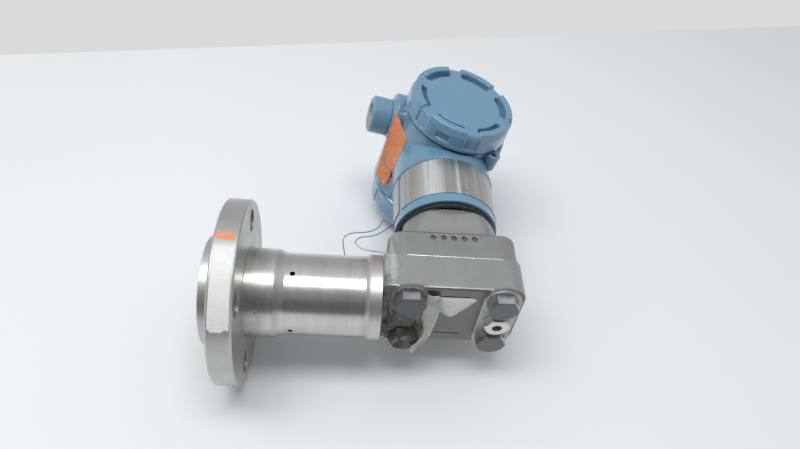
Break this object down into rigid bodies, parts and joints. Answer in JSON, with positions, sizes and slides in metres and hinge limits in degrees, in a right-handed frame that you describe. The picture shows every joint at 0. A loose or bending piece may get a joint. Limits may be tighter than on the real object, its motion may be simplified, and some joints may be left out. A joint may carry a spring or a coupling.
{
  "type": "pressure transmitter",
  "caption": "Pressure transmitter with a blue two-cover housing on a bolted sensor module, joined by a steel tube to a round flanged diaphragm seal.",
  "frame": {"origin": "centre of the flange's sealing face", "axes": "+X along the seal tube away from the sealing face, +Y along the sensor axis towards the housing, +Z out on the side of the front cover"},
  "size_m": [0.2226, 0.2612, 0.1394],
  "materials": {
    "flange_steel": "turned stainless, dull",
    "tube_steel": "polished stainless, turned lines",
    "foil_steel": "thin rolled stainless foil",
    "cast_steel": "grey cast stainless, blasted",
    "module_steel": "grey stainless, blasted",
    "zinc_steel": "dull zinc plating",
    "bright_steel": "bright stainless",
    "blue_paint": "gloss blue paint on cast aluminium",
    "plate_steel": "brushed strip",
    "black_rubber": "matt",
    "black_plastic": "moulded, matt",
    "green_board": "coated circuit board",
    "brass": "nickel-free brass",
    "beige_tape": "aged tape"
  },
  "bodies": {
    "base": {"process_flange": "flange_steel", "seal_diaphragm": "foil_steel", "extension_tube": "tube_steel", "tube_end_cap": "tube_steel", "capillary_tube": "bright_steel", "coplanar_flange": "cast_steel", "sensor_module": "module_steel", "isolator_diaphragms": "foil_steel", "process_o_rings": "black_rubber", "neck_o_ring": "black_rubber", "module_connector": "black_plastic", "flange_bolts": "zinc_steel", "vent_valve_seat": "bright_steel", "tag_wire": "bright_steel", "tape_strip": "beige_tape"},
    "housing": {"housing": "blue_paint", "nameplate_band": "plate_steel", "conduit_adapter": "blue_paint", "conduit_plug": "zinc_steel", "cover_lock_screws": "bright_steel", "housing_set_screw": "zinc_steel", "ground_screw": "bright_steel", "electronics_board": "green_board", "board_screws": "bright_steel", "terminal_block": "black_plastic", "terminal_screws": "brass"},
    "vent_stem": {"vent_valve_stem": "bright_steel"},
    "front_ring": {"front_cover_o_ring": "black_rubber"},
    "front_cover": {"front_cover": "blue_paint"},
    "rear_ring": {"rear_cover_o_ring": "black_rubber"},
    "rear_cover": {"rear_cover": "blue_paint"}
  },
  "joints": [
    {"name": "housing_swivel", "type": "hinge", "parent": "base", "child": "housing", "pos_m": [0.1671, 0.154, 0], "axis": [0, 1, 0], "range_deg": [-180, 180]},
    {"name": "vent_stem_turn", "type": "hinge", "parent": "base", "child": "vent_stem", "pos_m": [0.1984, -0.0215, 0], "axis": [0, -1, 0], "range_deg": [0, 360]},
    {"name": "front_cover_travel", "type": "slide", "parent": "housing", "child": "front_ring", "axis": [0.2079, 0, 0.9781], "range_m": [0, 0.01]},
    {"name": "front_cover_turn", "type": "hinge", "parent": "front_ring", "child": "front_cover", "pos_m": [0.1671, 0.154, 0], "axis": [0.2079, 0, 0.9781], "range_deg": [0, 1800]},
    {"name": "rear_cover_travel", "type": "slide", "parent": "housing", "child": "rear_ring", "axis": [-0.2079, 0, -0.9781], "range_m": [0, 0.01]},
    {"name": "rear_cover_turn", "type": "hinge", "parent": "rear_ring", "child": "rear_cover", "pos_m": [0.1671, 0.154, 0], "axis": [-0.2079, 0, -0.9781], "range_deg": [0, 1800]}
  ],
  "couplings": [
    {"joint": "front_cover_travel", "follows": "front_cover_turn", "m_per_rad": 0.00031831},
    {"joint": "rear_cover_travel", "follows": "rear_cover_turn", "m_per_rad": 0.00031831}
  ]
}
